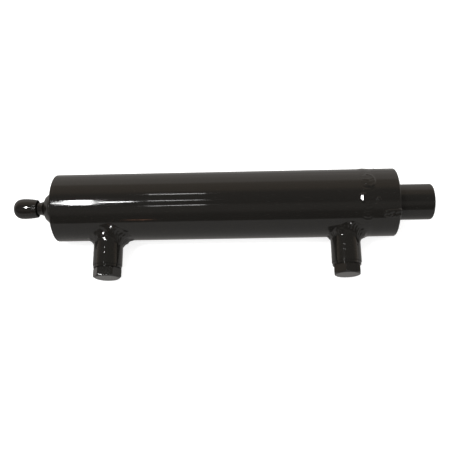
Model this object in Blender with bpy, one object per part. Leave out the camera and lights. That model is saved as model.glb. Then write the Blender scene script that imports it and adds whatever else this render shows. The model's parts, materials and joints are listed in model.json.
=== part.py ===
"""A double-acting welded hydraulic cylinder, 2 in bore by 6 in stroke, lying on a flat surface.

Everything is modelled with the bore on the X axis, from the tip of the button on the closed end at x = 0 to
the tapped rod end, and with both ports along -Y. The REST empty then rolls the cylinder about its bore until
a port plug comes down to the surface that the barrel lies on.
"""

import math

import bmesh
import bpy
from mathutils import Vector

MM = 0.001
INCH = 0.0254

# Driving dimensions
GAP = 0.3 * MM  # left between pieces that touch
BORE = 2.0 * INCH
BARREL_OD = 2.375 * INCH
BARREL_LENGTH = 301.6 * MM
ROD_DIAMETER = 1.25 * INCH
ROD_REACH = 33.0 * MM  # rod standing out of the barrel when it is retracted
STROKE = 6.0 * INCH
BUTTON_REACH = 40.3 * MM  # button, neck and root standing out of the closed end
BUTTON_LENGTH = 22.0 * MM
BOSS_OD = 1.0 * INCH
BOSS_FACE = 54.6 * MM  # from the bore axis
PLUG_TIP = 65.4 * MM  # from the bore axis
PLUG_ACROSS_FLATS = 0.875 * INCH
PORT_BASE_INSET = 47.8 * MM  # from the closed end
PORT_ROD_INSET = 44.9 * MM  # from the open end
BASE_PLUG_CLOCK = math.radians(30)  # turn of a hexagon corner from +Z towards -X
ROD_PLUG_CLOCK = math.radians(8.5)
BEAD_RISE = 0.45 * MM  # crown of the head weld above the barrel

# Facets around a turned piece
FINE = 40
MEDIUM = 30
SMALL = 20

# Radii
BARREL_R = BARREL_OD / 2
BORE_R = BORE / 2
ROD_R = ROD_DIAMETER / 2
BOSS_R = BOSS_OD / 2
BORE_FIT_R = BORE_R - 0.4 * MM  # cap, gland nose and piston rings
OIL_HOLE_R = 6.0 * MM
PORT_THREAD_R = 0.375 * INCH
SPIGOT_R = 11.1 * MM
ROD_THREAD_R = 9.5 * MM
SOCKET_R = 8.75 * MM
STUD_SHANK_R = 9.5 * MM
STUD_TIP_R = 4.6 * MM
NECK_R = 5.7 * MM
COLLAR_BORE_R = 27.0 * MM
GLAND_R = COLLAR_BORE_R - 0.4 * MM
GLAND_BORE_R = ROD_R + 0.5 * MM
WIPER_R = 20.3 * MM

# Stations along the bore axis
CLOSED_END = BUTTON_REACH
OPEN_END = CLOSED_END + BARREL_LENGTH
ROD_TIP = OPEN_END + ROD_REACH
CAP_FACE = CLOSED_END + 4.0 * MM
CAP_INNER = CAP_FACE + 27.0 * MM
SPIGOT_TIP = CAP_INNER + 1.0 * MM
NUT_START = SPIGOT_TIP + 6.0 * MM
NUT_END = NUT_START + 16.0 * MM
PISTON_START = NUT_END + GAP
PISTON_END = PISTON_START + 36.0 * MM
ROD_SHOULDER = PISTON_END + GAP
GLAND_START = PISTON_END + STROKE + 1.0 * MM
TUBE_END = CLOSED_END + 273.5 * MM
BEAD_MIDDLE = TUBE_END + GAP / 2
BEAD_TOE = 5.6 * MM  # from the bead's middle to its edge
GLAND_FACE = OPEN_END - 1.0 * MM
PORT_BASE_X = CLOSED_END + PORT_BASE_INSET
PORT_ROD_X = OPEN_END - PORT_ROD_INSET

# Port plug head
PLUG_CORNER_R = PLUG_ACROSS_FLATS / 2 / math.cos(math.radians(30))
PLUG_TIP_R = 0.47 * PLUG_ACROSS_FLATS
PLUG_CHAMFER_SLOPE = math.tan(math.radians(30))
WASHER_FACE = BOSS_FACE + GAP + 1.8 * MM

# The roll that brings the lowest corner of the rod end's plug level with the underside of the head weld
CORNER_REACH = PLUG_TIP - (PLUG_CORNER_R - PLUG_TIP_R) * PLUG_CHAMFER_SLOPE
CORNER_DROP = PLUG_CORNER_R * math.cos(ROD_PLUG_CLOCK)
REST_DIP = math.asin((BARREL_R + BEAD_RISE) / math.hypot(CORNER_REACH, CORNER_DROP)) - math.atan2(
    CORNER_DROP, CORNER_REACH
)

# Grooves, each (start, end, radius)
GLAND_WEAR_GROOVE = (GLAND_START + 3.0 * MM, GLAND_START + 12.6 * MM, 18.7 * MM)
GLAND_O_RING_GROOVE = (CLOSED_END + 265.0 * MM, CLOSED_END + 269.6 * MM, 22.2 * MM)
ROD_SEAL_GROOVE = (CLOSED_END + 273.0 * MM, CLOSED_END + 281.0 * MM, 21.2 * MM)
WIPER_GROOVE = (GLAND_FACE - 6.0 * MM, GLAND_FACE, WIPER_R)
PISTON_WEAR_A = (PISTON_START + 3.0 * MM, PISTON_START + 11.0 * MM, 22.6 * MM)
PISTON_SEAL_GROOVE = (PISTON_START + 14.0 * MM, PISTON_START + 22.0 * MM, 20.4 * MM)
PISTON_WEAR_B = (PISTON_START + 25.0 * MM, PISTON_START + 33.0 * MM, 22.6 * MM)
PISTON_BORE_GROOVE = (PISTON_START + 16.0 * MM, PISTON_START + 20.0 * MM, 14.0 * MM)

# name: (colour, roughness, metallic)
FINISHES = {
    "black_enamel": ((0.020, 0.019, 0.017), 0.16, 0.0),
    "bare_steel": ((0.42, 0.42, 0.43), 0.32, 1.0),
    "ductile_iron": ((0.19, 0.19, 0.20), 0.45, 1.0),
    "nitrile": ((0.014, 0.014, 0.015), 0.55, 0.0),
    "urethane": ((0.03, 0.13, 0.30), 0.35, 0.0),
    "nylon": ((0.62, 0.59, 0.50), 0.50, 0.0),
}


# ---- Helpers ----


def clear_scene():
    for item in list(bpy.data.objects):
        bpy.data.objects.remove(item, do_unlink=True)


def add_empty(name, holder=None):
    empty = bpy.data.objects.new(name, None)
    bpy.context.scene.collection.objects.link(empty)
    empty.parent = holder
    return empty


def piece_material(name, finish):
    colour, roughness, metallic = FINISHES[finish]
    made = bpy.data.materials.new(name + "_" + finish)
    made.use_nodes = True
    shader = made.node_tree.nodes["Principled BSDF"]
    shader.inputs["Base Color"].default_value = (*colour, 1.0)
    shader.inputs["Roughness"].default_value = roughness
    shader.inputs["Metallic"].default_value = metallic
    return made


def add_solid(name, bm, finish, holder):
    """Turns a bmesh into a named object with outward normals and smooth round faces."""
    bmesh.ops.remove_doubles(bm, verts=bm.verts, dist=1e-6)
    bmesh.ops.recalc_face_normals(bm, faces=bm.faces)
    mesh = bpy.data.meshes.new(name)
    bm.to_mesh(mesh)
    bm.free()
    mesh.shade_smooth()
    mesh.set_sharp_from_angle(angle=math.radians(28))
    piece = bpy.data.objects.new(name, mesh)
    bpy.context.scene.collection.objects.link(piece)
    piece.parent = holder
    if finish:
        mesh.materials.append(piece_material(name, finish))
    return piece


def arc(centre_x, centre_r, radius, start, end, steps):
    """Points (x, r) on an arc, with angle 0 along +X and 90 degrees outwards."""
    points = []
    for step in range(steps + 1):
        angle = math.radians(start + (end - start) * step / steps)
        points.append((centre_x + radius * math.cos(angle), centre_r + radius * math.sin(angle)))
    return points


def turned(name, outline, finish, holder, facets=MEDIUM):
    """A solid of revolution about X. The (x, r) outline runs from axis to axis, or closes on itself."""
    bm = bmesh.new()
    verts = [bm.verts.new((x, 0.0, r)) for x, r in outline]
    edges = [bm.edges.new(pair) for pair in zip(verts, verts[1:])]
    if min(r for _, r in outline) > 0:
        edges.append(bm.edges.new((verts[-1], verts[0])))
    bmesh.ops.spin(bm, geom=verts + edges, cent=(0, 0, 0), axis=(1, 0, 0), angle=2 * math.pi, steps=facets)
    return add_solid(name, bm, finish, holder)


def plain_ring(name, start, end, inner, outer, finish, holder, facets=MEDIUM):
    """A ring of rectangular section with its outer corners chamfered."""
    chamfer = 0.3 * MM
    outline = [
        (start, inner),
        (start, outer - chamfer),
        (start + chamfer, outer),
        (end - chamfer, outer),
        (end, outer - chamfer),
        (end, inner),
    ]
    return turned(name, outline, finish, holder, facets)


def o_ring(name, centre_x, centre_r, section_r, holder, facets=MEDIUM):
    return turned(name, arc(centre_x, centre_r, section_r, 0, 300, 5), "nitrile", holder, facets)


def cutting_shape(name, outline, holder, facets=SMALL):
    """A turned solid that shapes another piece and is not part of the model."""
    shape = turned(name, outline, None, holder, facets)
    shape.hide_render = True
    shape.display_type = "WIRE"
    return shape


def cutter(name, start, end, radius, holder, facets=SMALL):
    return cutting_shape(name, [(start, 0), (start, radius), (end, radius), (end, 0)], holder, facets)


def combine(piece, other, operation):
    modifier = piece.modifiers.new(operation.title(), "BOOLEAN")
    modifier.operation = operation
    modifier.object = other
    modifier.solver = "EXACT"


def lofted_ring(name, sections, finish, holder):
    """A closed ring through equal sections, each a closed loop of 3-D points."""
    bm = bmesh.new()
    loops = [[bm.verts.new(point) for point in section] for section in sections]
    for here, there in zip(loops, loops[1:] + loops[:1]):
        for index in range(len(here)):
            after = (index + 1) % len(here)
            bm.faces.new((here[index], here[after], there[after], there[index]))
    return add_solid(name, bm, finish, holder)


def polar(x, r, angle):
    """A point at radius r from the bore axis. Angle 0 is up (+Z), and 90 degrees is on the port side (-Y)."""
    return (x, -r * math.sin(angle), r * math.cos(angle))


# ---- Barrel and closed end ----


def barrel_tube(holder):
    corner = 2.0 * MM
    weld_bevel = 3.9 * MM
    outline = [(CLOSED_END, BORE_R)]
    outline += arc(CLOSED_END + corner, BARREL_R - corner, corner, 180, 90, 3)
    outline += [(TUBE_END - 6.5 * MM, BARREL_R), (TUBE_END, BARREL_R - weld_bevel), (TUBE_END, BORE_R)]
    tube = turned("barrel_tube", outline, "black_enamel", holder, FINE)
    for end, port_x in (("base", PORT_BASE_X), ("rod", PORT_ROD_X)):
        hole = cutter("oil_hole_" + end, 20 * MM, 36 * MM, OIL_HOLE_R, holder)
        aim_at_port(hole, port_x)
        combine(tube, hole, "DIFFERENCE")


def base_cap(holder):
    """A plug in the end of the tube, tapped for the stud."""
    hole_r = STUD_SHANK_R + 0.4 * MM
    hole_end = CAP_FACE + 24.0 * MM
    chamfer = 1.0 * MM
    outline = [
        (hole_end, 0),
        (hole_end, hole_r),
        (CAP_FACE, hole_r),
        (CAP_FACE, BORE_FIT_R),
        (CAP_INNER - chamfer, BORE_FIT_R),
        (CAP_INNER, BORE_FIT_R - chamfer),
        (CAP_INNER, 0),
    ]
    turned("base_cap", outline, "bare_steel", holder)


def base_cap_weld(holder):
    """The fillet weld in the corner between the tube's lip and the cap set back inside it."""
    outline = [
        (CLOSED_END + 0.4 * MM, BORE_FIT_R),
        (CLOSED_END + 1.3 * MM, BORE_FIT_R - 2.0 * MM),
        (CAP_FACE - 1.0 * MM, BORE_FIT_R - 3.8 * MM),
        (CAP_FACE - GAP, BORE_FIT_R - 4.6 * MM),
        (CAP_FACE - GAP, BORE_FIT_R),
    ]
    turned("base_cap_weld", outline, "black_enamel", holder)


def base_stud(holder):
    """A shank in the cap, a root that flares out of the neck like a trumpet, and the button's spigot."""
    flare = 6.4 * MM
    flare_start = CLOSED_END - 15.4 * MM
    root_r = 15.0 * MM
    spigot_end = BUTTON_LENGTH - 13.0 * MM
    shank_end = CAP_FACE + 23.0 * MM
    outline = [
        (spigot_end, 0),
        (spigot_end, STUD_TIP_R),
        (BUTTON_LENGTH + GAP, STUD_TIP_R),
        (BUTTON_LENGTH + GAP, NECK_R),
    ]
    outline += arc(flare_start, NECK_R + flare, flare, -90, -12, 5)
    outline += [
        (CLOSED_END - 3.0 * MM, root_r),
        (CAP_FACE - GAP, root_r),
        (CAP_FACE - GAP, STUD_SHANK_R),
        (shank_end, STUD_SHANK_R),
        (shank_end, 0),
    ]
    turned("base_stud", outline, "black_enamel", holder, SMALL)


def base_button(holder):
    """A button with a blunt domed tip that tapers away towards the neck."""
    widest_r = 9.17 * MM
    dome_length = 8.6 * MM
    dome_power = 2.3
    dome_steps = 8
    taper_start = 10.0 * MM
    taper_drop = 1.09 * MM
    taper_steps = 4
    bore_r = STUD_TIP_R + GAP
    bore_end = BUTTON_LENGTH - 13.0 * MM - GAP
    outline = []
    for step in range(dome_steps):
        x = dome_length * (step / dome_steps) ** 2
        r = widest_r * (1 - (1 - x / dome_length) ** dome_power) ** (1 / dome_power)
        outline.append((x, r))
    for step in range(taper_steps + 1):
        share = step / taper_steps
        x = taper_start + (BUTTON_LENGTH - taper_start) * share
        outline.append((x, widest_r - taper_drop * share**2))
    outline += [(BUTTON_LENGTH, bore_r), (bore_end, bore_r), (bore_end, 0)]
    turned("base_button", outline, "black_enamel", holder, SMALL)


# ---- Ports ----


def aim_at_port(piece, port_x, clock=0.0):
    """Points a piece turned about X along the port, turned by clock about the port's own axis."""
    piece.location = (port_x, 0, 0)
    piece.rotation_euler = (clock, 0, -math.pi / 2)


def seat_radius(x):
    """The barrel's radius with clearance, which steps up over the bead of the head weld."""
    distance = abs(x - BEAD_MIDDLE)
    over_bead = min(1.0, max(0.0, (BEAD_TOE + 1.4 * MM - distance) / (3.0 * MM)))
    return BARREL_R + GAP + BEAD_RISE * over_bead


def port_boss(name, port_x, holder):
    """A round weld-on boss whose foot is saddled to the barrel."""
    corner = 0.6 * MM
    foot = 22.0 * MM
    thread_end = BOSS_FACE - 16.0 * MM
    outline = [
        (foot, OIL_HOLE_R),
        (foot, BOSS_R),
        (BOSS_FACE - corner, BOSS_R),
        (BOSS_FACE, BOSS_R - corner),
        (BOSS_FACE, PORT_THREAD_R),
        (thread_end, PORT_THREAD_R),
        (thread_end, OIL_HOLE_R),
    ]
    boss = turned(name, outline, "black_enamel", holder)
    aim_at_port(boss, port_x)
    saddle_outline = [(CLOSED_END, 0), (CLOSED_END, seat_radius(CLOSED_END))]
    for offset in (-7.0 * MM, -4.0 * MM, 4.0 * MM, 7.0 * MM):
        x = BEAD_MIDDLE + offset
        saddle_outline.append((x, seat_radius(x)))
    saddle_outline += [(OPEN_END, seat_radius(OPEN_END)), (OPEN_END, 0)]
    saddle = cutting_shape(name + "_saddle", saddle_outline, holder, FINE)
    combine(boss, saddle, "DIFFERENCE")


def port_weld(name, port_x, holder):
    """The fillet weld that follows the saddle where a boss meets the barrel."""
    barrel_leg = 8.5 * MM
    boss_leg = 7.0 * MM
    inner = BOSS_R + GAP
    profile = [
        (inner, 0),
        (inner + 0.50 * barrel_leg, 0),
        (inner + barrel_leg, 0),
        (inner + 0.92 * barrel_leg, 0.15 * boss_leg),
        (inner + 0.42 * barrel_leg, 0.46 * boss_leg),
        (inner + 0.10 * barrel_leg, 0.92 * boss_leg),
        (inner, boss_leg),
    ]
    sections = []
    for step in range(FINE):
        angle = 2 * math.pi * step / FINE
        section = []
        for reach, height in profile:
            x = port_x + reach * math.cos(angle)
            z = reach * math.sin(angle)
            y = -math.sqrt(seat_radius(x) ** 2 - z**2) - height
            section.append((x, y, z))
        sections.append(section)
    lofted_ring(name, sections, "black_enamel", holder)


def port_plug(name, port_x, clock, holder):
    """A hex-head plug: a turned blank trimmed to a hexagon, with its shank in the boss."""
    blank_r = PLUG_CORNER_R + 0.2 * MM
    chamfer = (blank_r - PLUG_TIP_R) * PLUG_CHAMFER_SLOPE
    shank_r = PORT_THREAD_R - 0.35 * MM
    shank_chamfer = 0.8 * MM
    shank_end = BOSS_FACE - 13.0 * MM
    head_start = WASHER_FACE + GAP
    outline = [
        (shank_end, 0),
        (shank_end, shank_r - shank_chamfer),
        (shank_end + shank_chamfer, shank_r),
        (head_start, shank_r),
        (head_start, blank_r),
        (PLUG_TIP - chamfer, blank_r),
        (PLUG_TIP, PLUG_TIP_R),
        (PLUG_TIP, 0),
    ]
    plug = turned(name, outline, "black_enamel", holder, 24)
    hexagon = cutter(name + "_hexagon", BOSS_FACE - 30 * MM, PLUG_TIP + 10 * MM, PLUG_CORNER_R, holder, 6)
    aim_at_port(plug, port_x, clock)
    aim_at_port(hexagon, port_x, clock)
    combine(plug, hexagon, "INTERSECT")


def port_washer(name, port_x, holder):
    """The bonded washer between boss and plug head."""
    outer = 11.9 * MM
    washer = plain_ring(name, BOSS_FACE + GAP, WASHER_FACE, PORT_THREAD_R, outer, "black_enamel", holder)
    aim_at_port(washer, port_x)


def ports(holder):
    for end, port_x, clock in (
        ("base", PORT_BASE_X, BASE_PLUG_CLOCK),
        ("rod", PORT_ROD_X, ROD_PLUG_CLOCK),
    ):
        port_boss("port_boss_" + end, port_x, holder)
        port_weld("port_weld_" + end, port_x, holder)
        port_plug("port_plug_" + end, port_x, clock, holder)
        port_washer("port_washer_" + end, port_x, holder)


# ---- Head: the collar welded to the tube, and the gland screwed into it ----


def head_collar(holder):
    start = TUBE_END + GAP
    bevel_length = 6.2 * MM
    corner = 2.0 * MM
    outline = [(start, COLLAR_BORE_R), (start + bevel_length, BARREL_R)]
    outline += arc(OPEN_END - corner, BARREL_R - corner, corner, 90, 0, 3)
    outline += [(OPEN_END, COLLAR_BORE_R)]
    turned("head_collar", outline, "black_enamel", holder, FINE)


def head_weld(holder):
    """The ring weld in the V between tube and collar, with a round lump where the bead stops."""
    crown = BARREL_R + BEAD_RISE
    shoulder = crown - 0.1 * MM
    toe = BARREL_R - 0.2 * MM
    root = BARREL_R - 3.2 * MM
    stop_angle = math.radians(-19)
    stop_spread = 6.4 * MM / BARREL_R
    stop_rise = 0.9 * MM
    steps = FINE * 3 // 2
    sections = []
    for step in range(steps):
        angle = 2 * math.pi * step / steps
        turn = math.remainder(angle - stop_angle, 2 * math.pi) / stop_spread
        rise = stop_rise * math.sqrt(max(0.0, 1 - turn**2))
        section = [
            polar(BEAD_MIDDLE - BEAD_TOE, toe, angle),
            polar(BEAD_MIDDLE - BEAD_TOE / 2, shoulder + 0.7 * rise, angle),
            polar(BEAD_MIDDLE, crown + rise, angle),
            polar(BEAD_MIDDLE + BEAD_TOE / 2, shoulder + 0.7 * rise, angle),
            polar(BEAD_MIDDLE + BEAD_TOE, toe, angle),
            polar(BEAD_MIDDLE, root, angle),
        ]
        sections.append(section)
    lofted_ring("head_weld", sections, "black_enamel", holder)


def gland_lock_weld(holder):
    """A tack along the collar, over its end and down onto the gland, which locks the gland's thread."""
    middle = math.radians(38)
    half_angle = 4.2 * MM / BARREL_R
    edge_height = 0.3 * MM
    ribs = 6
    seat_r = BARREL_R + GAP
    seat_x = OPEN_END + GAP
    # Stations along the tack: its seat (x, r), then its crown (x, r)
    stations = [
        ((OPEN_END - 15.0 * MM, seat_r), (OPEN_END - 14.6 * MM, seat_r + 0.5 * MM)),
        ((OPEN_END - 11.5 * MM, seat_r), (OPEN_END - 11.5 * MM, seat_r + 1.3 * MM)),
        ((OPEN_END - 6.0 * MM, seat_r), (OPEN_END - 6.0 * MM, seat_r + 1.0 * MM)),
        ((seat_x, seat_r), (seat_x + 1.2 * MM, seat_r + 1.3 * MM)),
        ((seat_x, BARREL_R - 3.5 * MM), (seat_x + 2.4 * MM, BARREL_R - 3.0 * MM)),
        ((seat_x, GLAND_R - 3.2 * MM), (seat_x + 1.2 * MM, GLAND_R - 3.4 * MM)),
    ]
    bm = bmesh.new()
    seats, crowns = [], []
    for seat, crown in stations:
        seat_row, crown_row = [], []
        for rib in range(ribs + 1):
            across = 2 * rib / ribs - 1
            angle = middle + half_angle * across
            low = Vector(polar(*seat, angle))
            high = Vector(polar(*crown, angle))
            height = (high - low).length
            share = (edge_height + (height - edge_height) * (1 - across**2)) / height
            seat_row.append(bm.verts.new(low))
            crown_row.append(bm.verts.new(low.lerp(high, share)))
        seats.append(seat_row)
        crowns.append(crown_row)
    last = len(stations) - 1
    for i in range(last):
        for j in range(ribs):
            bm.faces.new((crowns[i][j], crowns[i + 1][j], crowns[i + 1][j + 1], crowns[i][j + 1]))
            bm.faces.new((seats[i][j], seats[i][j + 1], seats[i + 1][j + 1], seats[i + 1][j]))
        for j in (0, ribs):
            bm.faces.new((crowns[i][j], crowns[i + 1][j], seats[i + 1][j], seats[i][j]))
    for i in (0, last):
        for j in range(ribs):
            bm.faces.new((crowns[i][j], crowns[i][j + 1], seats[i][j + 1], seats[i][j]))
    add_solid("gland_lock_weld", bm, "black_enamel", holder)


def gland(holder):
    """The bushing that guides and seals the rod. Its slim nose is the stop at full stroke."""
    nose_r = 20.6 * MM
    nose_end = CLOSED_END + 263.5 * MM
    thread_start = TUBE_END + 0.5 * MM
    chamfer = 1.0 * MM
    spanner_holes = 4
    ring_start, ring_end, ring_r = GLAND_O_RING_GROOVE
    outline = [
        (GLAND_START, nose_r),
        (nose_end, nose_r),
        (nose_end, BORE_FIT_R),
        (ring_start, BORE_FIT_R),
        (ring_start, ring_r),
        (ring_end, ring_r),
        (ring_end, BORE_FIT_R),
        (thread_start, BORE_FIT_R),
        (thread_start, GLAND_R),
        (GLAND_FACE - chamfer, GLAND_R),
        (GLAND_FACE, GLAND_R - chamfer),
        (GLAND_FACE, WIPER_R),
        (WIPER_GROOVE[0], WIPER_R),
        (WIPER_GROOVE[0], GLAND_BORE_R),
    ]
    for start, end, radius in (ROD_SEAL_GROOVE, GLAND_WEAR_GROOVE):
        outline += [(end, GLAND_BORE_R), (end, radius), (start, radius), (start, GLAND_BORE_R)]
    outline += [(GLAND_START, GLAND_BORE_R)]
    body = turned("gland", outline, "black_enamel", holder)
    for index in range(spanner_holes):
        depth = 5 * MM
        drill = cutter(f"spanner_hole_{index}", GLAND_FACE - depth, GLAND_FACE + depth, 1.8 * MM, holder, 12)
        drill.location = polar(0, 23.3 * MM, 2 * math.pi * (index + 0.5) / spanner_holes)
        combine(body, drill, "DIFFERENCE")


def gland_seals(holder):
    start, end, radius = GLAND_WEAR_GROOVE
    plain_ring("rod_wear_ring", start + GAP, end - GAP, GLAND_BORE_R, radius - 0.4 * MM, "nylon", holder)
    start, end, radius = GLAND_O_RING_GROOVE
    section_r = 1.35 * MM
    o_ring("gland_o_ring", start + GAP + section_r, BORE_FIT_R - section_r, section_r, holder)
    backup_start = start + 2 * GAP + 2 * section_r
    plain_ring("gland_backup_ring", backup_start, end - GAP, radius + GAP, BORE_FIT_R, "nylon", holder)


def rod_seal(holder):
    """A U-cup, open towards the pressure, whose two lips are split by a V."""
    start, end, radius = ROD_SEAL_GROOVE
    start += GAP
    end -= GAP
    inner = GLAND_BORE_R
    outer = radius - 0.4 * MM
    lip = 0.25 * (outer - inner)
    outline = [
        (start, inner),
        (start, inner + lip),
        ((start + end) / 2, (inner + outer) / 2),
        (start, outer - lip),
        (start, outer),
        (end, outer),
        (end, inner),
    ]
    turned("rod_seal", outline, "urethane", holder)


def wiper_seal(holder):
    """A press-in wiper whose lip leans out against the rod at the gland's face."""
    start, end, radius = WIPER_GROOVE
    case_end = end + 0.2 * MM
    lip_end = end + 1.6 * MM
    outer = radius - 0.4 * MM
    outline = [
        (start + GAP, GLAND_BORE_R + 0.4 * MM),
        (start + GAP, outer),
        (case_end, outer),
        (case_end, outer - 1.2 * MM),
        (end - 1.2 * MM, GLAND_BORE_R + 1.6 * MM),
        (lip_end, GLAND_BORE_R + 0.5 * MM),
        (lip_end, GLAND_BORE_R),
    ]
    turned("wiper_seal", outline, "nitrile", holder)


# ---- Rod and piston ----


def rod(holder):
    """The rod, with a threaded spigot for the piston inside and a tapped socket at its outer end."""
    corner = 2.4 * MM
    chamfer = 1.0 * MM
    thread_end = PISTON_START + 2.0 * MM
    socket_end = ROD_TIP - 19.0 * MM
    drill_point = socket_end - 4.5 * MM
    outline = [
        (SPIGOT_TIP, 0),
        (SPIGOT_TIP, ROD_THREAD_R - chamfer),
        (SPIGOT_TIP + chamfer, ROD_THREAD_R),
        (thread_end, ROD_THREAD_R),
        (thread_end, SPIGOT_R),
        (ROD_SHOULDER, SPIGOT_R),
        (ROD_SHOULDER, ROD_R - chamfer),
        (ROD_SHOULDER + chamfer, ROD_R),
    ]
    outline += arc(ROD_TIP - corner, ROD_R - corner, corner, 90, 0, 4)
    outline += [
        (ROD_TIP, SOCKET_R + chamfer),
        (ROD_TIP - chamfer, SOCKET_R),
        (socket_end, SOCKET_R),
        (drill_point, 0),
    ]
    turned("rod", outline, "black_enamel", holder)


def piston_nut(holder):
    corner_r = 17.0 * MM
    overrun = 5.0 * MM
    outline = [(NUT_START, 0), (NUT_START, corner_r), (NUT_END, corner_r), (NUT_END, 0)]
    nut = turned("piston_nut", outline, "bare_steel", holder, 6)
    bore = cutter("nut_bore", NUT_START - overrun, NUT_END + overrun, ROD_THREAD_R + GAP, holder)
    combine(nut, bore, "DIFFERENCE")


def piston(holder):
    land_r = BORE_R - 0.7 * MM
    bore_r = SPIGOT_R + GAP
    chamfer = 0.8 * MM
    outline = [(PISTON_START, bore_r), (PISTON_START, land_r - chamfer), (PISTON_START + chamfer, land_r)]
    for start, end, radius in (PISTON_WEAR_A, PISTON_SEAL_GROOVE, PISTON_WEAR_B):
        outline += [(start, land_r), (start, radius), (end, radius), (end, land_r)]
    outline += [(PISTON_END - chamfer, land_r), (PISTON_END, land_r - chamfer), (PISTON_END, bore_r)]
    start, end, radius = PISTON_BORE_GROOVE
    outline += [(end, bore_r), (end, radius), (start, radius), (start, bore_r)]
    turned("piston", outline, "ductile_iron", holder)


def piston_bore_o_ring(holder):
    start, end, radius = PISTON_BORE_GROOVE
    section_r = 1.15 * MM
    o_ring("piston_bore_o_ring", (start + end) / 2, radius - GAP - section_r, section_r, holder, SMALL)


def piston_rings(holder):
    """The rings that slide with the piston, and stay put against the bore when the rod is turned."""
    for letter, (start, end, radius) in (("a", PISTON_WEAR_A), ("b", PISTON_WEAR_B)):
        inner = radius + GAP
        plain_ring("piston_wear_ring_" + letter, start + GAP, end - GAP, inner, BORE_FIT_R, "nylon", holder)
    start, end, radius = PISTON_SEAL_GROOVE
    section_r = 0.95 * MM
    split_r = radius + 2 * section_r + 2 * GAP
    o_ring("piston_seal_energizer", (start + end) / 2, radius + GAP + section_r, section_r, holder)
    plain_ring("piston_seal", start + GAP, end - GAP, split_r, BORE_FIT_R, "urethane", holder)


# ---- Assembly ----


def settle(rest):
    """Shifts the whole cylinder until its box stands centred on the origin."""
    bpy.context.view_layer.update()
    depsgraph = bpy.context.evaluated_depsgraph_get()
    corners = []
    for piece in bpy.data.objects:
        if piece.type != "MESH" or piece.hide_render:
            continue
        shaped = piece.evaluated_get(depsgraph)
        corners += [shaped.matrix_world @ vert.co for vert in shaped.data.vertices]
    low = [min(corner[axis] for corner in corners) for axis in range(3)]
    high = [max(corner[axis] for corner in corners) for axis in range(3)]
    rest.location -= Vector(((low[0] + high[0]) / 2, (low[1] + high[1]) / 2, low[2]))


def main():
    clear_scene()
    rest = add_empty("REST")
    rest.rotation_euler = (REST_DIP, 0, 0)
    barrel_body = add_empty("BARREL", rest)
    ring_body = add_empty("PISTON_RINGS", rest)
    rod_body = add_empty("ROD", ring_body)

    barrel_tube(barrel_body)
    base_cap(barrel_body)
    base_cap_weld(barrel_body)
    base_stud(barrel_body)
    base_button(barrel_body)
    ports(barrel_body)
    head_collar(barrel_body)
    head_weld(barrel_body)
    gland_lock_weld(barrel_body)
    gland(barrel_body)
    gland_seals(barrel_body)
    rod_seal(barrel_body)
    wiper_seal(barrel_body)

    piston_rings(ring_body)
    rod(rod_body)
    piston(rod_body)
    piston_nut(rod_body)
    piston_bore_o_ring(rod_body)

    settle(rest)


main()
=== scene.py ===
"""Looks for the hydraulic cylinder: fine surfaces, finishes, floor, light and camera.

Pieces are shaped in the port frame: the bore on the X axis, both ports along -Y and +Z up. PLACE carries
them into the row frame, where the cylinder lies rolled about its bore.
"""

import json
import math

import bmesh
import bpy
from mathutils import Matrix, Vector, noise


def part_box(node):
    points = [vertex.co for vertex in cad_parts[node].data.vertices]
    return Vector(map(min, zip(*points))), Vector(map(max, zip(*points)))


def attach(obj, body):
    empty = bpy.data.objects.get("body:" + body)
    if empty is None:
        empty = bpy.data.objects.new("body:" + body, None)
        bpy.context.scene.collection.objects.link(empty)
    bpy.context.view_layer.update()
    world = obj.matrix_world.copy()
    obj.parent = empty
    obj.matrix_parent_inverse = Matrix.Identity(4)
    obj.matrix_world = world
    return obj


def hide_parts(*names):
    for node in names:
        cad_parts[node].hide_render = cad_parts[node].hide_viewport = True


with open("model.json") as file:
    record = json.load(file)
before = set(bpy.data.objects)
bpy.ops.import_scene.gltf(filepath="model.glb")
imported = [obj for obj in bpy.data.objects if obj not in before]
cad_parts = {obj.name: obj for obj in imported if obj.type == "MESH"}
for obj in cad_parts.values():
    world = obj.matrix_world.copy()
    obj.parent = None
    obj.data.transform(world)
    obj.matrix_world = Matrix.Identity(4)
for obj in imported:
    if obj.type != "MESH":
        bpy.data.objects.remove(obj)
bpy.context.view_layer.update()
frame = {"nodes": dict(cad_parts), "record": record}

MM = 0.001
INCH = 0.0254

# Sizes that the CAD model shares
BARREL_R = 2.375 * INCH / 2
BORE_R = 2.0 * INCH / 2
ROD_R = 1.25 * INCH / 2
BOSS_R = 1.0 * INCH / 2 + 0.2 * MM  # with its paint
PLUG_FLATS_R = 0.875 * INCH / 2
BOSS_FACE = 54.6 * MM
WASHER_FACE = 56.7 * MM
PLUG_TIP = 65.4 * MM
COLLAR_BORE_R = 27.0 * MM
WIPER_R = 20.3 * MM
SOCKET_R = 8.75 * MM
OIL_HOLE_R = 6 * MM
NECK_R = 5.7 * MM
BASE_PLUG_CLOCK = math.radians(30)
ROD_PLUG_CLOCK = math.radians(8.5)
GAP = 0.3 * MM


def middle(node):
    low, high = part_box(node)
    return (low + high) / 2


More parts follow.
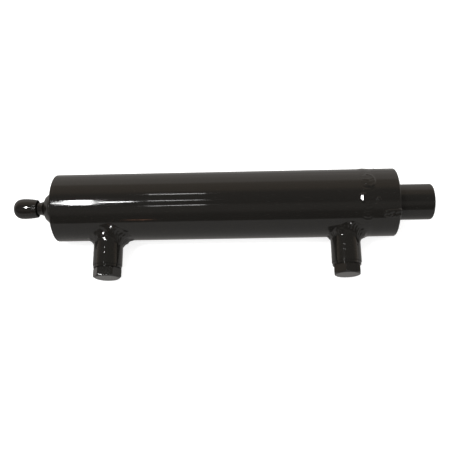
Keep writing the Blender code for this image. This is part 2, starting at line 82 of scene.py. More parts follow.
# Places from the frame
AXIS = middle("rod")
PORT_AXIS = next(m["axis"] for m in frame["record"]["mounts"] if m["name"] == "base_port_plug_face")
DIP = math.atan2(-PORT_AXIS[2], -PORT_AXIS[1])
PLACE = Matrix.Translation((0, AXIS.y, AXIS.z)) @ Matrix.Rotation(DIP, 4, "X")
BUTTON_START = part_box("base_button")[0].x
BUTTON_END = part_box("base_button")[1].x
CLOSED_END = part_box("barrel_tube")[0].x
TUBE_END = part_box("barrel_tube")[1].x
CAP_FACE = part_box("base_cap")[0].x
COLLAR_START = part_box("head_collar")[0].x
OPEN_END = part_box("head_collar")[1].x
GLAND_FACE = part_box("gland")[1].x
WIPER_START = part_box("wiper_seal")[0].x
ROD_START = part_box("rod")[0].x
ROD_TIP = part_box("rod")[1].x
PORT_BASE_X = middle("port_boss_base").x
PORT_ROD_X = middle("port_boss_rod").x
BEAD_MIDDLE = (TUBE_END + COLLAR_START) / 2
PAINT_END = OPEN_END + 1.2 * MM  # where the rod's paint stops when it is retracted

# How far each port's weld reaches along the barrel: the mean, and the gain towards +X (a loss towards -X)
WELD_LEGS = {
    "base": (7.8 * MM, 2.2 * MM),
    "rod": (6.2 * MM, 3.0 * MM),
}

# Where paint has pooled on each port's weld: a place in the port frame, and the way the pool faces
WELD_POOLS = {
    "base": [
        ((PORT_BASE_X + 5.3 * MM, -24.3 * MM, 18.4 * MM), (-0.035, -0.157, 0.987)),
        ((PORT_BASE_X - 1.9 * MM, -28.9 * MM, 14.9 * MM), (-0.026, -0.149, 0.988)),
        ((PORT_BASE_X - 1.2 * MM, -32.9 * MM, 12.9 * MM), (-0.027, -0.144, 0.989)),
    ],
    "rod": [((PORT_ROD_X + 2.2 * MM, -25.0 * MM, 18.0 * MM), (-0.42, -0.154, 0.90))],
}


# ---- Materials ----


def new_material(name):
    material = bpy.data.materials.new(name)
    material.use_nodes = True
    return material, material.node_tree, material.node_tree.nodes["Principled BSDF"]


def placed(tree, stretch=(1, 1, 1)):
    """Object coordinates, in metres, scaled by stretch."""
    source = tree.nodes.new("ShaderNodeTexCoord")
    mapping = tree.nodes.new("ShaderNodeMapping")
    mapping.inputs["Scale"].default_value = stretch
    tree.links.new(source.outputs["Object"], mapping.inputs["Vector"])
    return mapping.outputs["Vector"]


def grain(tree, scale, detail=3.0, stretch=(1, 1, 1)):
    """A noise value with scale features to the metre."""
    texture = tree.nodes.new("ShaderNodeTexNoise")
    texture.inputs["Scale"].default_value = scale
    texture.inputs["Detail"].default_value = detail
    tree.links.new(placed(tree, stretch), texture.inputs["Vector"])
    return texture.outputs["Fac"]


def remap(tree, value, low, high, to_low, to_high):
    """The value carried from low..high to to_low..to_high, and held at the ends."""
    spread = tree.nodes.new("ShaderNodeMapRange")
    for socket, number in (("From Min", low), ("From Max", high), ("To Min", to_low), ("To Max", to_high)):
        spread.inputs[socket].default_value = number
    tree.links.new(value, spread.inputs["Value"])
    return spread.outputs["Result"]


def arithmetic(tree, operation, first, second):
    """A Math node on two values, each a socket or a number."""
    step = tree.nodes.new("ShaderNodeMath")
    step.operation = operation
    for index, value in enumerate((first, second)):
        if isinstance(value, (int, float)):
            step.inputs[index].default_value = value
        else:
            tree.links.new(value, step.inputs[index])
    return step.outputs["Value"]


def blended(tree, share, first, second):
    """Two colours mixed by share. Each is a socket or an RGB triple."""
    mix = tree.nodes.new("ShaderNodeMix")
    mix.data_type = "RGBA"
    tree.links.new(share, mix.inputs["Factor"])
    for socket, colour in ((mix.inputs[6], first), (mix.inputs[7], second)):
        if isinstance(colour, tuple):
            socket.default_value = (*colour, 1.0)
        else:
            tree.links.new(colour, socket)
    return mix.outputs[2]


def bumped(tree, height, depth, base=None):
    """A normal tilted by height, whose full range stands for depth metres. Base is a normal to add to."""
    bump = tree.nodes.new("ShaderNodeBump")
    bump.inputs["Strength"].default_value = 1.0
    bump.inputs["Distance"].default_value = depth
    tree.links.new(height, bump.inputs["Height"])
    if base:
        tree.links.new(base, bump.inputs["Normal"])
    return bump.outputs["Normal"]


def wavy_paint(tree):
    """The relief of sprayed enamel on drawn tube: long faint waves along the bore, then orange peel."""
    waves = bumped(tree, grain(tree, 1.0, 2.0, (5, 210, 210)), 0.05 * MM)
    return bumped(tree, grain(tree, 420.0, 2.0), 0.012 * MM, waves)


def enamel_colour(tree):
    """Warm black that drifts a little, with sparse specks of dust in the paint."""
    drift = blended(tree, grain(tree, 26.0), (0.0048, 0.0044, 0.0038), (0.0068, 0.0063, 0.0055))
    specks = remap(tree, grain(tree, 1500.0, 0.0), 0.80, 0.84, 0.0, 1.0)
    return blended(tree, specks, drift, (0.030, 0.028, 0.025))


def enamel():
    material, tree, shader = new_material("black_enamel")
    shader.inputs["IOR"].default_value = 1.52
    tree.links.new(enamel_colour(tree), shader.inputs["Base Color"])
    roughness = remap(tree, grain(tree, 60.0), 0.35, 0.7, 0.05, 0.09)
    tree.links.new(roughness, shader.inputs["Roughness"])
    tree.links.new(wavy_paint(tree), shader.inputs["Normal"])
    return material


def enamel_on_weld():
    """Enamel that has pooled over a weld's ripples and pores."""
    material, tree, shader = new_material("black_enamel_on_weld")
    shader.inputs["IOR"].default_value = 1.52
    tree.links.new(enamel_colour(tree), shader.inputs["Base Color"])
    roughness = remap(tree, grain(tree, 180.0), 0.35, 0.7, 0.06, 0.15)
    tree.links.new(roughness, shader.inputs["Roughness"])
    lumps = bumped(tree, grain(tree, 330.0, 3.0), 0.06 * MM)
    tree.links.new(bumped(tree, grain(tree, 1300.0, 2.0), 0.01 * MM, lumps), shader.inputs["Normal"])
    return material


def rod_finish():
    """Enamel on the stub and hard chrome on the length that runs in the gland, with a ragged paint edge."""
    material, tree, shader = new_material("rod_paint_and_chrome")
    place = tree.nodes.new("ShaderNodeSeparateXYZ")
    tree.links.new(placed(tree), place.inputs["Vector"])
    ragged = remap(tree, grain(tree, 240.0), 0.3, 0.7, -0.5 * MM, 0.5 * MM)
    edge = arithmetic(tree, "ADD", place.outputs["X"], ragged)
    painted = remap(tree, edge, PAINT_END - 0.15 * MM, PAINT_END + 0.15 * MM, 0.0, 1.0)
    chrome = blended(tree, grain(tree, 30.0), (0.60, 0.61, 0.63), (0.68, 0.69, 0.70))
    tree.links.new(blended(tree, painted, chrome, enamel_colour(tree)), shader.inputs["Base Color"])
    tree.links.new(remap(tree, painted, 0.0, 1.0, 1.0, 0.0), shader.inputs["Metallic"])
    rings = grain(tree, 1.0, 2.0, (2600, 12, 12))
    ground_roughness = remap(tree, rings, 0.3, 0.7, 0.05, 0.12)
    paint_extra = remap(tree, painted, 0.0, 1.0, 0.0, 0.04)
    tree.links.new(arithmetic(tree, "ADD", ground_roughness, paint_extra), shader.inputs["Roughness"])
    ground = bumped(tree, rings, 0.0015 * MM)
    tree.links.new(bumped(tree, grain(tree, 420.0, 2.0), 0.010 * MM, ground), shader.inputs["Normal"])
    return material


def turned_metal(name, dark, light, smoothest, roughest):
    """Lathe-turned metal with fine tool rings round the bore axis and a film of oil."""
    material, tree, shader = new_material(name)
    shader.inputs["Metallic"].default_value = 1.0
    rings = grain(tree, 1.0, 2.0, (3200, 20, 20))
    ring_shade = remap(tree, rings, 0.3, 0.7, 0.0, 0.5)
    oil_shade = remap(tree, grain(tree, 70.0), 0.3, 0.7, 0.0, 0.5)
    shade = arithmetic(tree, "ADD", ring_shade, oil_shade)
    tree.links.new(blended(tree, shade, dark, light), shader.inputs["Base Color"])
    roughness = remap(tree, grain(tree, 110.0), 0.3, 0.7, smoothest, roughest)
    tree.links.new(roughness, shader.inputs["Roughness"])
    tree.links.new(bumped(tree, rings, 0.006 * MM), shader.inputs["Normal"])
    return material


def moulded(name, dark, light, smoothest, roughest):
    """Moulded rubber or plastic: faint mottling and a fine satin texture."""
    material, tree, shader = new_material(name)
    shader.inputs["IOR"].default_value = 1.5
    tree.links.new(blended(tree, grain(tree, 90.0), dark, light), shader.inputs["Base Color"])
    roughness = remap(tree, grain(tree, 400.0), 0.3, 0.7, smoothest, roughest)
    tree.links.new(roughness, shader.inputs["Roughness"])
    tree.links.new(bumped(tree, grain(tree, 2200.0, 2.0), 0.01 * MM), shader.inputs["Normal"])
    return material


MATERIALS = {
    "enamel": enamel(),
    "weld": enamel_on_weld(),
    "rod_finish": rod_finish(),
    "bare_steel": turned_metal("turned_steel", (0.34, 0.33, 0.32), (0.50, 0.50, 0.50), 0.22, 0.38),
    "ductile_iron": turned_metal("turned_iron", (0.14, 0.14, 0.14), (0.24, 0.24, 0.25), 0.36, 0.52),
    "nitrile": moulded("nitrile_rubber", (0.011, 0.011, 0.012), (0.019, 0.019, 0.020), 0.45, 0.62),
    "urethane": moulded("blue_urethane", (0.022, 0.105, 0.25), (0.035, 0.15, 0.33), 0.28, 0.42),
    "nylon": moulded("natural_nylon", (0.55, 0.52, 0.43), (0.66, 0.63, 0.54), 0.42, 0.58),
}


# ---- Mesh helpers ----


def polar(x, r, angle):
    """A point r from the bore axis. Angle 0 is up (+Z), and 90 degrees is on the port side (-Y)."""
    return (x, -r * math.sin(angle), r * math.cos(angle))


def rounded(corners, steps=5):
    """An outline whose (x, r, radius) corners are arcs; corners given as (x, r) stay as they are."""
    points = []
    for index, corner in enumerate(corners):
        here = Vector(corner[:2])
        if len(corner) == 2:
            points.append(tuple(here))
            continue
        radius = corner[2]
        before = (Vector(corners[index - 1][:2]) - here).normalized()
        after = (Vector(corners[(index + 1) % len(corners)][:2]) - here).normalized()
        half = before.angle(after) / 2
        centre = here + (before + after).normalized() * radius / math.sin(half)
        start = here + before * radius / math.tan(half) - centre
        end = here + after * radius / math.tan(half) - centre
        first = math.atan2(start.y, start.x)
        turn = math.remainder(math.atan2(end.y, end.x) - first, 2 * math.pi)
        for step in range(steps + 1):
            angle = first + turn * step / steps
            points.append((centre.x + radius * math.cos(angle), centre.y + radius * math.sin(angle)))
    return points


def skin(rings, looped):
    """Quads through equal rings of points. Looped joins the last ring to the first."""
    bm = bmesh.new()
    rows = [[bm.verts.new(point) for point in ring] for ring in rings]
    following = rows[1:] + (rows[:1] if looped else [])
    for here, there in zip(rows, following):
        for i in range(len(here)):
            j = (i + 1) % len(here)
            bm.faces.new((here[i], here[j], there[j], there[i]))
    bmesh.ops.remove_doubles(bm, verts=bm.verts, dist=1e-7)
    bmesh.ops.recalc_face_normals(bm, faces=bm.faces)
    return bm


def turned(outline, facets=160, relief=None):
    """A solid of revolution about X. Relief, if given, adds a height at (x, r, angle)."""
    rings = []
    for x, r in outline:
        ring = []
        for step in range(facets):
            angle = 2 * math.pi * step / facets
            ring.append(polar(x, r + (relief(x, r, angle) if relief else 0.0), angle))
        rings.append(ring)
    return skin(rings, looped=min(r for _, r in outline) > 0)


def aimed(port_x, clock=0.0):
    """The matrix that stands a piece turned about X on a port's axis."""
    outward = Matrix.Rotation(-math.pi / 2, 4, "Z")
    return Matrix.Translation((port_x, 0, 0)) @ outward @ Matrix.Rotation(clock, 4, "X")


def drilled(bm, cutters):
    """The mesh with each (outline, matrix) cutter taken out of it."""
    mesh = bpy.data.meshes.new("blank")
    bm.to_mesh(mesh)
    bm.free()
    blank = bpy.data.objects.new("blank", mesh)
    bpy.context.scene.collection.objects.link(blank)
    tools = []
    for outline, matrix in cutters:
        cutting = turned(outline, 48)
        cutting.transform(matrix)
        tool_mesh = bpy.data.meshes.new("cutter")
        cutting.to_mesh(tool_mesh)
        cutting.free()
        tool = bpy.data.objects.new("cutter", tool_mesh)
        bpy.context.scene.collection.objects.link(tool)
        modifier = blank.modifiers.new("cut", "BOOLEAN")
        modifier.object = tool
        tools.append(tool)
    depsgraph = bpy.context.evaluated_depsgraph_get()
    cut = bmesh.new()
    cut.from_object(blank, depsgraph)
    for item in [blank, *tools]:
        bpy.data.objects.remove(item, do_unlink=True)
    return cut


def add_piece(name, bm, finish, body, *nodes, sharp=38):
    """A shown piece in the row frame that rides on body and stands for the CAD nodes."""
    bm.transform(PLACE)
    mesh = bpy.data.meshes.new(name)
    bm.to_mesh(mesh)
    bm.free()
    mesh.materials.append(MATERIALS[finish])
    mesh.shade_smooth()
    mesh.set_sharp_from_angle(angle=math.radians(sharp))
    piece = bpy.data.objects.new(name, mesh)
    bpy.context.scene.collection.objects.link(piece)
    evened = piece.modifiers.new("even_normals", "WEIGHTED_NORMAL")
    evened.keep_sharp = True
    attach(piece, body)
    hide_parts(*nodes)


def ease(share):
    """A smooth step from 0 to 1 as share goes from 0 to 1."""
    share = min(1.0, max(0.0, share))
    return share * share * (3 - 2 * share)


def lumps(x, y, z, size, seed):
    """Smooth noise from -1 to 1 with features about size metres across."""
    return noise.noise(Vector((x / size + seed, y / size, z / size)))


# ---- Barrel and closed end ----


def barrel_tube():
    """The tube, with a turned ring near its closed end and the oil holes under the ports."""
    ring_x = CLOSED_END + 2.9 * MM
    corners = [
        (CLOSED_END, BORE_R, 0.4 * MM),
        (CLOSED_END, BARREL_R, 1.4 * MM),
        (ring_x - 0.35 * MM, BARREL_R, 0.15 * MM),
        (ring_x, BARREL_R - 0.14 * MM, 0.15 * MM),
        (ring_x + 0.35 * MM, BARREL_R, 0.15 * MM),
    ]
    cells = 24
    for cell in range(1, cells):
        corners.append((ring_x + (TUBE_END - 8 * MM - ring_x) * cell / cells, BARREL_R))
    corners += [
        (TUBE_END - 4.3 * MM, BARREL_R),
        (TUBE_END, BARREL_R - 3.9 * MM, 0.4 * MM),
        (TUBE_END, BORE_R, 0.3 * MM),
    ]
    oil_hole = [(20 * MM, 0), (20 * MM, OIL_HOLE_R), (36 * MM, OIL_HOLE_R), (36 * MM, 0)]
    holes = [(oil_hole, aimed(PORT_BASE_X)), (oil_hole, aimed(PORT_ROD_X))]
    bm = drilled(turned(rounded(corners), 256), holes)
    add_piece("barrel_tube_fine", bm, "enamel", "barrel", "barrel_tube")


def ripple(along, across, pitch):
    """Crescent ripples of a weld bead: along runs with the bead, across is -1 to 1 over its width."""
    phase = (along + 0.9 * pitch * across * across) / pitch
    wave = phase - math.floor(phase)
    return 1 - (2 * wave - 1) ** 2


def base_cap_weld():
    """The fillet in the corner between the tube's lip and the cap set back inside it."""
    steps = 360
    ribs = 10
    outer = BORE_R - 0.1 * MM
    lip_toe = CLOSED_END + 0.9 * MM
    cap_leg = 4.4 * MM
    rings = []
    for step in range(steps):
        angle = 2 * math.pi * step / steps
        ring = [polar(CAP_FACE + 0.1 * MM, outer, angle)]
        for rib in range(ribs + 1):
            share = rib / ribs
            bulge = 0.9 * MM * math.sin(math.pi * share)
            bulge += 0.28 * MM * ripple(angle * outer, 2 * share - 1, 3.0 * MM) * math.sin(math.pi * share)
            here = (share * 4 * MM, math.cos(angle) * outer, math.sin(angle) * outer)
            bulge += 0.35 * MM * lumps(*here, 6 * MM, 3.0)
            x = lip_toe + (CAP_FACE - lip_toe) * share - 0.5 * bulge
            r = outer - cap_leg * share - 0.5 * bulge
            ring.append(polar(x, min(r, outer), angle))
        rings.append(ring)
    add_piece("base_cap_weld_fine", skin(rings, True), "weld", "barrel", "base_cap_weld", sharp=80)


def base_stud():
    """A shank in the cap, a root that flares out of the neck like a trumpet, and the button's spigot."""
    start, end = (corner.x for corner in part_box("base_stud"))
    flare = 6.4 * MM
    flare_start = CLOSED_END - 16.3 * MM
    root_r = 15.0 * MM
    sweep = math.radians(78)
    outline = [(start, 0), (start, 3.9 * MM), (start + 0.7 * MM, 4.6 * MM), (BUTTON_END + GAP, 4.6 * MM)]
    outline.append((BUTTON_END + GAP, NECK_R))
    for step in range(17):
        angle = sweep * step / 16
        outline.append((flare_start + flare * math.sin(angle), NECK_R + flare * (1 - math.cos(angle))))
    outline += rounded(
        [
            outline[-1],
            (CLOSED_END - 5.2 * MM, root_r, 1.2 * MM),
            (CAP_FACE - GAP, root_r, 0.3 * MM),
            (CAP_FACE - GAP, 9.5 * MM),
        ]
    )[1:]
    outline += [(end - 1 * MM, 9.5 * MM), (end, 8.5 * MM), (end, 0)]
    add_piece("base_stud_fine", turned(outline, 128), "enamel", "barrel", "base_stud")


def base_button():
    """A button with a blunt domed tip that tapers away towards the neck."""
    widest_r = 9.17 * MM
    dome_length = 9.6 * MM
    dome_power = 2.6
    taper_start = BUTTON_START + 10.0 * MM
    taper_drop = 1.09 * MM
    outline = []
    for step in range(40):
        x = dome_length * (step / 40) ** 2
        r = widest_r * (1 - (1 - x / dome_length) ** dome_power) ** (1 / dome_power)
        outline.append((taper_start - dome_length + x, r))
    for step in range(11):
        share = step / 10
        x = taper_start + (BUTTON_END - 0.7 * MM - taper_start) * share
        outline.append((x, widest_r - taper_drop * share**2))
    bore_r = 4.9 * MM
    bore_end = BUTTON_START + 8.7 * MM
    end_r = outline[-1][1]
    outline += rounded([outline[-1], (BUTTON_END, end_r, 0.6 * MM), (BUTTON_END, bore_r, 0.3 * MM)])[1:]
    outline += [(bore_end, bore_r), (bore_end, 0)]
    add_piece("base_button_fine", turned(outline, 128), "enamel", "barrel", "base_button")


# ---- Ports ----


def port_boss(end, port_x):
    """A round boss with faint turned steps, whose foot is buried in the tube wall."""
    foot = 26.5 * MM
    thread_r = 9.5 * MM
    thread_end = BOSS_FACE - 16 * MM
    corners = [(foot, OIL_HOLE_R), (foot, BOSS_R)]
    for ring_x in (41.0 * MM, 45.6 * MM):
        corners += [
            (ring_x - 0.5 * MM, BOSS_R, 0.2 * MM),
            (ring_x, BOSS_R - 0.035 * MM, 0.2 * MM),
            (ring_x + 0.5 * MM, BOSS_R, 0.2 * MM),
        ]
    corners += [
        (BOSS_FACE, BOSS_R, 0.35 * MM),
        (BOSS_FACE, 10.4 * MM, 0.2 * MM),
        (BOSS_FACE - 0.9 * MM, thread_r, 0.2 * MM),
        (thread_end, thread_r),
        (thread_end, OIL_HOLE_R),
    ]
    bm = turned(rounded(corners), 128)
    bm.transform(aimed(port_x))
    add_piece(f"port_boss_{end}_fine", bm, "enamel", "barrel", f"port_boss_{end}")


def pooled(point, pools):
    """The point drawn onto each domed pool of paint near it. A pool is a (middle, facing) pair."""
    curve = 10 * MM
    for place, facing in pools:
        centre = Vector(place) - Vector(facing).normalized() * (curve - 0.2 * MM)
        nearness = ease((2.4 * MM - (point - Vector(place)).length) / (1.3 * MM))
        point = point.lerp(centre + (point - centre).normalized() * curve, nearness)
    return point


def port_weld(end, port_x, seed):
    """The fillet weld that follows the saddle where a boss meets the barrel, wider on the rod side."""
    steps = 400
    ribs = 40
    buried = 0.35 * MM
    inner = BOSS_R - 0.15 * MM
    pitch = 2.6 * MM
    hollowness = 0.75  # 1 is a quarter circle, 0 is a flat fillet
    mean_leg, swing = WELD_LEGS[end]
    noise_path_r = 20 * MM
    sections = []
    for step in range(steps):
        angle = 2 * math.pi * step / steps
        along, up = noise_path_r * math.cos(angle), noise_path_r * math.sin(angle)
        barrel_leg = mean_leg + swing * math.cos(angle) + 1.1 * MM * lumps(along, up, 0, 9 * MM, seed)
        boss_leg = 7.2 * MM + 0.9 * MM * lumps(up, along, 0, 8 * MM, seed + 5)
        boss_leg *= 0.6 + 0.4 * barrel_leg / (8 * MM)  # a wide bead also stands higher
        profile = [(inner, -buried)]
        for rib in range(ribs + 1):
            share = rib / ribs
            turn = share * math.pi / 2
            reach = inner + barrel_leg * (hollowness * (1 - math.sin(turn)) + (1 - hollowness) * (1 - share))
            height = boss_leg * (hollowness * (1 - math.cos(turn)) + (1 - hollowness) * share)
            fade = math.sin(math.pi * share) ** 0.6
            x, z = reach * math.cos(angle), reach * math.sin(angle)
            rise = 0.26 * MM * (ripple(angle * (inner + 3 * MM), 2 * share - 1, pitch) - 0.5)
            rise += 1.15 * MM * lumps(x, z, height, 5.2 * MM, seed + 11)
            rise += 0.28 * MM * lumps(x, z, height, 2.1 * MM, seed + 17)
            reach += 0.7 * rise * fade
            height += 0.7 * rise * fade - (buried if rib == 0 else 0)
            profile.append((max(reach, inner), height))
        section = []
        for reach, height in profile:
            x = port_x + reach * math.cos(angle)
            z = reach * math.sin(angle)
            point = Vector((x, -math.sqrt(BARREL_R**2 - z**2) - height, z))
            section.append(pooled(point, WELD_POOLS[end]))
        sections.append(section)
    add_piece(f"port_weld_{end}_fine", skin(sections, True), "weld", "barrel", f"port_weld_{end}", sharp=80)


def soft_min(a, b, blend):
    """The smaller of a and b, rounded over where they differ by less than blend."""
    share = min(1.0, max(0.0, 0.5 + 0.5 * (b - a) / blend))
    return b * (1 - share) + a * share - blend * share * (1 - share)


def port_plug(end, port_x, clock):
    """A hex-head plug with soft edges, a turned chamfer and a washer face, and its shank in the boss."""
    tip_r = 0.94 * PLUG_FLATS_R
    corner_r = PLUG_FLATS_R / math.cos(math.radians(30))
    slope = math.tan(math.radians(30))
    shank_r = 9.15 * MM
    shank_end = BOSS_FACE - 13.0 * MM
    head_start = WASHER_FACE + GAP
    hex_start = head_start + 0.4 * MM
    washer_face_r = 11.0 * MM
    steps = 36
    facets = 180

    def head_radius(x, angle):
        from_flat = math.remainder(angle - math.radians(30), math.radians(60))
        hexagon = soft_min(PLUG_FLATS_R / math.cos(from_flat), corner_r - 0.22 * MM, 0.25 * MM)
        top_cone = tip_r + (PLUG_TIP - x) / slope
        under_cone = tip_r + 1.6 * MM + (x - hex_start) / slope
        return soft_min(soft_min(hexagon, top_cone, 0.35 * MM), under_cone, 0.3 * MM)

    shank = [(shank_end, 0), (shank_end, shank_r - 0.8 * MM), (shank_end + 0.8 * MM, shank_r)]
    shank += [(head_start, shank_r), (head_start, washer_face_r), (hex_start, washer_face_r + 0.05 * MM)]
    angles = [2 * math.pi * i / facets for i in range(facets)]
    rings = [[polar(x, r, angle) for angle in angles] for x, r in shank]
    for step in range(steps + 1):
        x = hex_start + (PLUG_TIP - hex_start) * (step / steps) ** 0.7
        rings.append([polar(x, head_radius(x, angle), angle) for angle in angles])
    # The end face from its rim to its middle, with a faint groove inside the rim
    for share, sink in ((0.985, 0.03 * MM), (0.965, 0), (0.93, 0), (0.6, 0), (0.25, 0), (0, 0)):
        x = PLUG_TIP - sink
        rings.append([polar(x, head_radius(PLUG_TIP, angle) * share, angle) for angle in angles])
    bm = skin(rings, False)
    bm.transform(aimed(port_x, clock))
    add_piece(f"port_plug_{end}_fine", bm, "enamel", "barrel", f"port_plug_{end}", sharp=60)


def port_washer(end, port_x):
    """A flat washer between boss and plug, a little smaller than the boss."""
    outer = 12.35 * MM
    inner = 9.6 * MM
    corners = [
        (BOSS_FACE + 0.05 * MM, inner),
        (BOSS_FACE + 0.05 * MM, outer, 0.25 * MM),
        (WASHER_FACE + 0.2 * MM, outer, 0.25 * MM),
        (WASHER_FACE + 0.2 * MM, inner),
    ]
    bm = turned(rounded(corners), 128)
    bm.transform(aimed(port_x))
    add_piece(f"port_washer_{end}_fine", bm, "enamel", "barrel", f"port_washer_{end}")


# ---- Head ----


def head_collar():
    """The collar, with a turned ring near its outer end."""
    ring_x = OPEN_END - 2.7 * MM
    corners = [
        (COLLAR_START, COLLAR_BORE_R, 0.2 * MM),
        (COLLAR_START + 4.3 * MM, BARREL_R),
        (ring_x - 0.35 * MM, BARREL_R, 0.15 * MM),
        (ring_x, BARREL_R - 0.05 * MM, 0.15 * MM),
        (ring_x + 0.35 * MM, BARREL_R, 0.15 * MM),
        (OPEN_END, BARREL_R, 1.6 * MM),
        (OPEN_END, COLLAR_BORE_R, 0.4 * MM),
    ]
    add_piece("head_collar_fine", turned(rounded(corners), 256), "enamel", "barrel", "head_collar")


def spatter(bm, x, angle, size):
    """Adds a low painted-over drop of spatter, size metres in radius, on the barrel at (x, angle)."""
    place = Matrix.Translation(polar(x, BARREL_R - 0.03 * MM, angle)) @ Matrix.Rotation(angle, 4, "X")
    shape = Matrix.Diagonal((size, size, 0.34 * size, 1.0))
    bmesh.ops.create_uvsphere(bm, u_segments=32, v_segments=24, radius=1.0, matrix=place @ shape)


def bead_stop(x, around, stop_x, reach):
    """The height of the lump where a bead stops: a low plateau, a rim and a nub. Around is in lump radii."""
    distance = math.hypot((x - stop_x) / reach, around)
    softness = 0.22 + 0.5 * ease((stop_x - x) / reach + 0.3 * (1 + around))
    plateau = 0.55 * MM * ease((1.04 - distance) / softness)
    rim = 0.28 * MM * math.exp(-(((distance - 0.86) / 0.10) ** 2)) * (0.72 - softness) * 2
    nub = 0.22 * MM * math.exp(-((distance / 0.24) ** 2))
    return plateau + rim + nub


def head_weld():
    """The ring weld between tube and collar, with the lump of its stop, one high spot and some spatter."""
    steps = 640
    ribs = 36
    half_width = 5.6 * MM
    crown = 0.42 * MM
    stop_x = BEAD_MIDDLE + 1.2 * MM
    stop_angle = math.radians(-19.5)
    stop_reach = (6.3 * MM, 8.0 * MM)
    spot_start = BEAD_MIDDLE - 6.3 * MM
    spot_rise = 0.85 * MM
    spot_angle = math.radians(11.2)
    sections = []
    for step in range(steps):
        angle = 2 * math.pi * step / steps
        here = (math.cos(angle) * BARREL_R, math.sin(angle) * BARREL_R)
        edge = 0.7 * MM * lumps(*here, 0, 7 * MM, 2.0)
        around = math.remainder(angle - stop_angle, 2 * math.pi) * BARREL_R / stop_reach[1]
        near_stop = max(0.0, 1 - around**4) ** 0.5
        off_spot = abs(math.remainder(angle - spot_angle, 2 * math.pi)) * BARREL_R
        near_spot = ease((5.0 * MM - off_spot) / (2.2 * MM))
        section = [polar(BEAD_MIDDLE, BARREL_R - 3.2 * MM, angle)]
        for rib in range(ribs + 1):
            across = 2 * rib / ribs - 1
            reach = half_width + edge * abs(across) + 2.6 * MM * near_stop * max(0.0, across)
            reach += 0.7 * MM * near_spot * max(0.0, -across)
            x = BEAD_MIDDLE + across * reach
            fade = max(0.0, 1 - across**2)
            rise = crown * fade**1.4
            rough = fade * (1 - near_spot)
            rise += 0.13 * MM * (ripple(angle * BARREL_R, across, 3.4 * MM) - 0.5) * rough
            rise += 0.14 * MM * lumps(x, *here, 2.6 * MM, 7.0) * rough
            rise += bead_stop(x, around, stop_x, stop_reach[0]) * min(1.0, 8 * fade)
            ramp = min((x - spot_start) * 0.35, spot_rise)
            spot = ramp * ease((BEAD_MIDDLE + 1.5 * MM - x) / (4.5 * MM))
            rise += max(0.0, spot - rise) * near_spot
            section.append(polar(x, BARREL_R + rise - (0.02 * MM if fade == 0 else 0), angle))
        sections.append(section)
    bm = skin(sections, True)
    # Drops of spatter: place along the bore, degrees from the top towards the ports, and radius
    for x, degrees, size in (
        (BEAD_MIDDLE + 8.9 * MM, 13.8, 2.2 * MM),
        (OPEN_END - 1.9 * MM, 30.6, 1.1 * MM),
        (BEAD_MIDDLE + 9.6 * MM, -64.0, 0.7 * MM),
        (BEAD_MIDDLE - 9.0 * MM, 118.0, 0.9 * MM),
        (BEAD_MIDDLE - 11.5 * MM, 171.0, 0.7 * MM),
        (BEAD_MIDDLE + 8.8 * MM, 232.0, 1.0 * MM),
    ):
        spatter(bm, x, math.radians(degrees), size)
    add_piece("head_weld_fine", bm, "weld", "barrel", "head_weld", sharp=80)


def gland_lock_weld():
    """A tack along the collar, over its end and down onto the gland, which locks the gland's thread."""
    centre = math.radians(37.5)
    half_angle = 4.2 * MM / BARREL_R
    path = rounded(
        [
            (OPEN_END - 15.2 * MM, BARREL_R),
            (OPEN_END - 0.2 * MM, BARREL_R, 1.8 * MM),
            (OPEN_END - 0.2 * MM, COLLAR_BORE_R - 0.6 * MM, 0.6 * MM),
            (GLAND_FACE - 0.1 * MM, COLLAR_BORE_R - 3.4 * MM),
        ],
        12,
    )
    spine = []
    for start, end in zip(path, path[1:]):
        count = max(1, round(math.dist(start, end) / (0.35 * MM)))
        start, end = Vector(start), Vector(end)
        spine += [(start.lerp(end, i / count), end - start) for i in range(count)]
    spine.append((Vector(path[-1]), spine[-1][1]))
    ribs = 28
    sections = []
    for index, (point, along) in enumerate(spine):
        share = index / (len(spine) - 1)
        outward = Vector((-along.y, along.x)).normalized()
        narrow = (1 - abs(2 * share - 1) ** 5) ** 0.5
        section = []
        for rib in range(ribs + 1):
            across = math.sin(0.5 * math.pi * (2 * rib / ribs - 1))  # the ribs crowd towards the edges
            fade = max(0.0, 1 - abs(across) ** 7)
            angle = centre + half_angle * narrow * across
            rough = fade * ease(1.4 * across + 1.4)
            rise = (1.0 - 0.35 * across) * MM * fade * narrow
            rise += 0.30 * MM * (ripple(share * 30 * MM, across, 3.2 * MM) - 0.5) * rough
            rise += 0.55 * MM * lumps(point.x, point.y * angle, across * 0.004, 2.6 * MM, 21.0) * rough
            rise = max(rise, -0.1 * MM) - (0.2 * MM if fade == 0 else 0)
            place = point + outward * rise
            section.append(polar(place.x, place.y, angle))
        buried = point - outward * 0.8 * MM
        section.append(polar(buried.x, buried.y, centre))
        sections.append(section)
    bm = skin(sections, False)
    bmesh.ops.holes_fill(bm, edges=bm.edges)
    add_piece("gland_lock_weld_fine", bm, "weld", "barrel", "gland_lock_weld", sharp=80)


